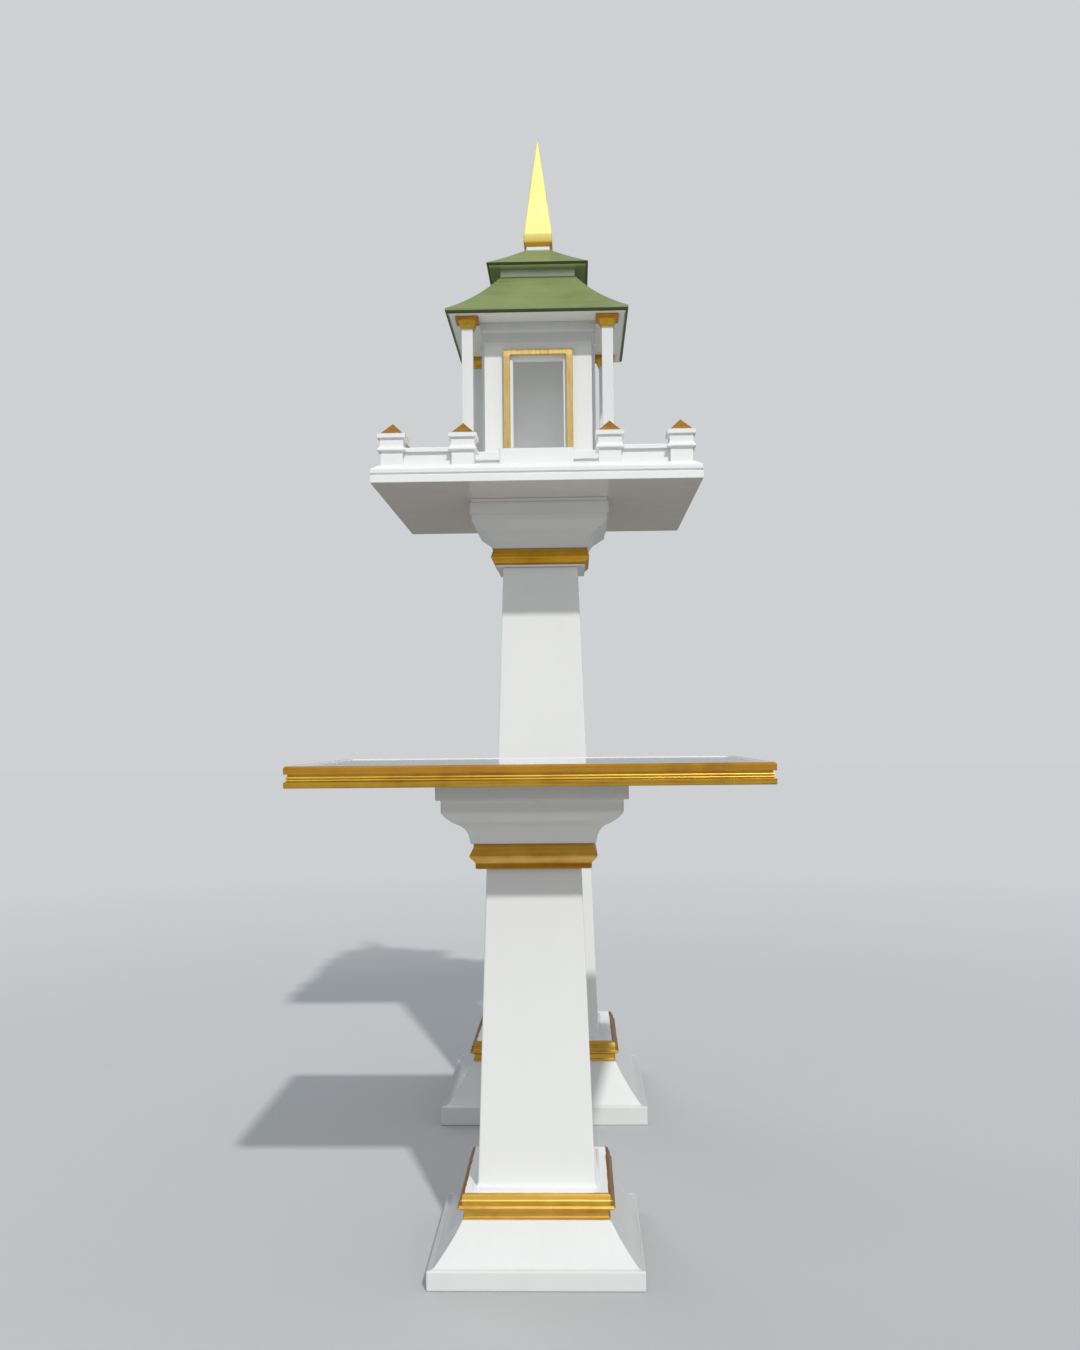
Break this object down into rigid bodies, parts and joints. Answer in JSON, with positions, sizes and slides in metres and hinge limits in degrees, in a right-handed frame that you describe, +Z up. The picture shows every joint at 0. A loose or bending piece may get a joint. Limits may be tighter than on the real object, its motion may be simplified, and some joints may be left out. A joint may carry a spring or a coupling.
{
  "type": "spirit house",
  "caption": "Spirit house: a small shrine with a swept two-tier roof on a tall tapered pillar, with a matching offering table on a pedestal in front.",
  "frame": {"origin": "on the ground, at the centre of the shrine pillar's foot", "axes": "+Z up, -Y towards the front, where the doorway and the offering table face, +X to the right of someone who looks at the front"},
  "size_m": [0.789, 1.629, 2.479],
  "materials": {
    "white_paint": "gloss white paint on cast cement",
    "gold_paint": "gold paint on cast cement",
    "green_paint": "satin olive green paint on cast cement",
    "table_top_tile": "polished pale grey top"
  },
  "bodies": {
    "root": {"door_frame": "gold_paint", "doorstep": "white_paint", "front_balustrade": "white_paint", "front_column_capitals": "gold_paint", "front_columns": "white_paint", "front_post_caps": "gold_paint", "front_posts": "white_paint", "front_wall_left": "white_paint", "front_wall_over_door": "white_paint", "front_wall_right": "white_paint", "house_cornice": "white_paint", "house_plinth": "white_paint", "left_balustrade": "white_paint", "left_wall": "white_paint", "left_wall_panel": "white_paint", "lower_roof": "green_paint", "pillar": "white_paint", "pillar_capital": "white_paint", "pillar_foot": "white_paint", "pillar_foot_band": "gold_paint", "pillar_neck_band": "gold_paint", "platform_slab": "white_paint", "rear_balustrade": "white_paint", "rear_column_capitals": "gold_paint", "rear_columns": "white_paint", "rear_post_caps": "gold_paint", "rear_posts": "white_paint", "rear_wall": "white_paint", "right_balustrade": "white_paint", "right_wall": "white_paint", "right_wall_panel": "white_paint", "roof_neck": "white_paint", "roof_soffit": "white_paint", "side_post_caps": "gold_paint", "side_posts": "white_paint", "spire": "gold_paint", "spire_neck": "white_paint", "table_capital": "white_paint", "table_column": "white_paint", "table_edge": "gold_paint", "table_foot": "white_paint", "table_foot_band": "gold_paint", "table_neck_band": "gold_paint", "table_top": "table_top_tile", "upper_roof": "green_paint"}
  },
  "joints": []
}
